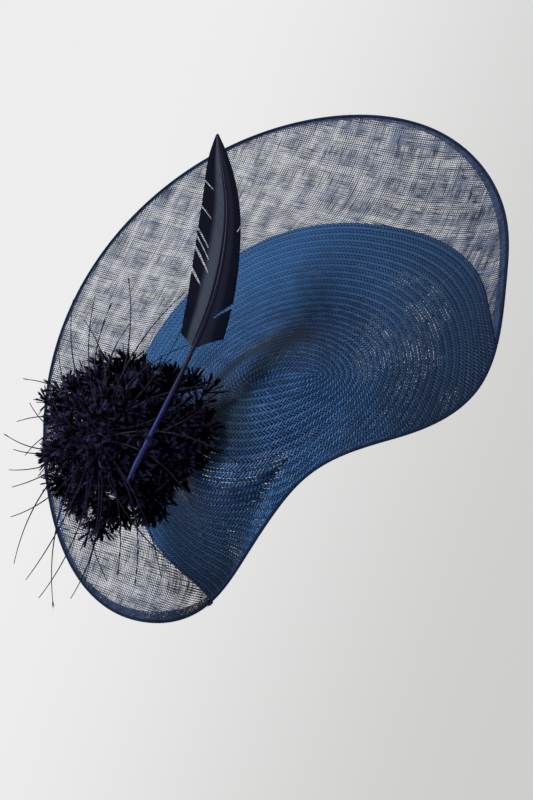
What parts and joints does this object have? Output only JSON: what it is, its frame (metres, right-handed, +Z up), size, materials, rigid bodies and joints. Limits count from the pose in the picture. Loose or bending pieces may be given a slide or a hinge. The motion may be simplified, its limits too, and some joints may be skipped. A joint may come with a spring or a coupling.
{
  "type": "fascinator headpiece",
  "caption": "Wide, tilted saucer headpiece of ringed straw with a sheer woven brim, a trimmed quill and a spray of feather rosettes, worn on a small domed base with a comb.",
  "frame": {"origin": "the middle of the inside of the base dome, where it rests on the head", "axes": "+Z up as worn; +X to the wearer's left side as seen from in front, towards the raised front corner; -Y towards the viewer, in front of the wearer"},
  "size_m": [0.4755, 0.4324, 0.5268],
  "materials": {
    "straw_braid": "ridged straw braid, satin",
    "sinamay": "sheer open plain weave",
    "edge_binding": "soft satin bias tape",
    "millinery_wire": "thread-covered steel wire",
    "wire_joiner": "plain crimped tube",
    "base_cloth": "stiffened cloth, matte",
    "ribbon_and_thread": "ribbed ribbon, matte",
    "comb_plastic": "moulded plastic",
    "feather_pad_felt": "felt",
    "feather_vane": "barbed feather, soft sheen",
    "stripped_quill": "stripped quill, satin",
    "dyed_quill": "dyed quill, glossy",
    "post_wire": "thread-wrapped wire"
  },
  "bodies": {
    "hat": {"base_binding": "edge_binding", "base_cap": "base_cloth", "base_wire": "millinery_wire", "brim_binding": "edge_binding", "comb_stitch_1": "ribbon_and_thread", "comb_stitch_2": "ribbon_and_thread", "comb_stitch_3": "ribbon_and_thread", "curled_quill": "dyed_quill", "edge_wire": "millinery_wire", "feather_pad": "feather_pad_felt", "feather_post": "post_wire", "front_binding": "edge_binding", "petersham_ribbon": "ribbon_and_thread", "quill_bunch_lower": "stripped_quill", "quill_bunch_outer": "stripped_quill", "quill_bunch_upper": "stripped_quill", "quill_shaft": "dyed_quill", "rosette_01": "feather_vane", "rosette_02": "feather_vane", "rosette_03": "feather_vane", "rosette_04": "feather_vane", "rosette_05": "feather_vane", "rosette_06": "feather_vane", "rosette_07": "feather_vane", "rosette_08": "feather_vane", "rosette_09": "feather_vane", "rosette_10": "feather_vane", "rosette_11": "feather_vane", "rosette_12": "feather_vane", "rosette_13": "feather_vane", "rosette_14": "feather_vane", "rosette_15": "feather_vane", "rosette_16": "feather_vane", "rosette_17": "feather_vane", "rosette_18": "feather_vane", "rosette_19": "feather_vane", "rosette_20": "feather_vane", "rosette_21": "feather_vane", "rosette_22": "feather_vane", "rosette_23": "feather_vane", "rosette_24": "feather_vane", "rosette_25": "feather_vane", "rosette_26": "feather_vane", "sinamay_under_ply": "sinamay", "sinamay_upper_ply": "sinamay", "straw_dish": "straw_braid", "vane_left": "feather_vane", "vane_right": "feather_vane", "wire_joiner": "wire_joiner"},
    "comb": {"hair_comb": "comb_plastic"}
  },
  "joints": [
    {"name": "comb_hinge", "type": "hinge", "parent": "hat", "child": "comb", "pos_m": [0.01546, -0.01358, -0.02035], "axis": [-0.7784, 0.0516, -0.6257], "range_deg": [0, 25]}
  ]
}
